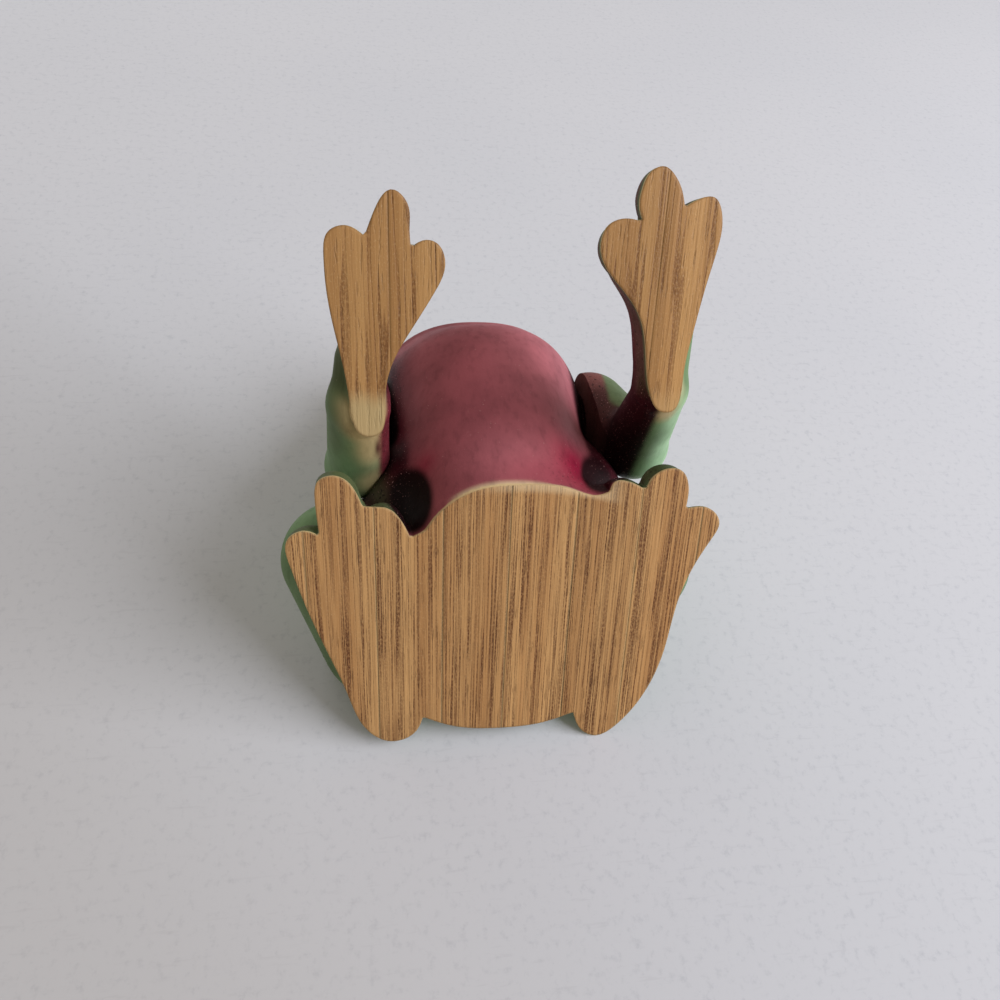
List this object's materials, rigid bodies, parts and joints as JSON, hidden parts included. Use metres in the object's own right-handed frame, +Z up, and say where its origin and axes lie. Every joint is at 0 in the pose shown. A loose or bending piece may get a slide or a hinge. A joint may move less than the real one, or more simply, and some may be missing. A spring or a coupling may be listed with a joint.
{
  "type": "frog figurine",
  "caption": "Small sitting frog figurine carved from glued bamboo strips, painted above and bare under its feet.",
  "frame": {"origin": "on the plane that the soles rest on, under the middle of the overall length and width", "axes": "+Z up, -Y the way the frog faces, +X its own left side"},
  "size_m": [0.0573, 0.0744, 0.051],
  "materials": {
    "trunk_bamboo": "glued bamboo, bare and sanded on the sole, dull rose lacquer on belly and throat, sage green above",
    "limb_bamboo": "glued bamboo, bare and sanded on the undersides, sage green paint above",
    "dowel_wood": "bare wood, out of sight",
    "eye_bead": "polished black bead"
  },
  "bodies": {
    "root": {"right_knee_strip": "limb_bamboo", "right_haunch_strip": "limb_bamboo", "right_flank_strip": "trunk_bamboo", "right_core_strip": "trunk_bamboo", "left_core_strip": "trunk_bamboo", "left_flank_strip": "trunk_bamboo", "left_haunch_strip": "limb_bamboo", "left_knee_strip": "limb_bamboo", "right_arm_outer_strip": "limb_bamboo", "right_arm_inner_strip": "limb_bamboo", "left_arm_outer_strip": "limb_bamboo", "left_arm_inner_strip": "limb_bamboo", "right_shoulder_dowel": "dowel_wood", "left_shoulder_dowel": "dowel_wood", "right_eye": "eye_bead", "left_eye": "eye_bead"}
  },
  "joints": []
}
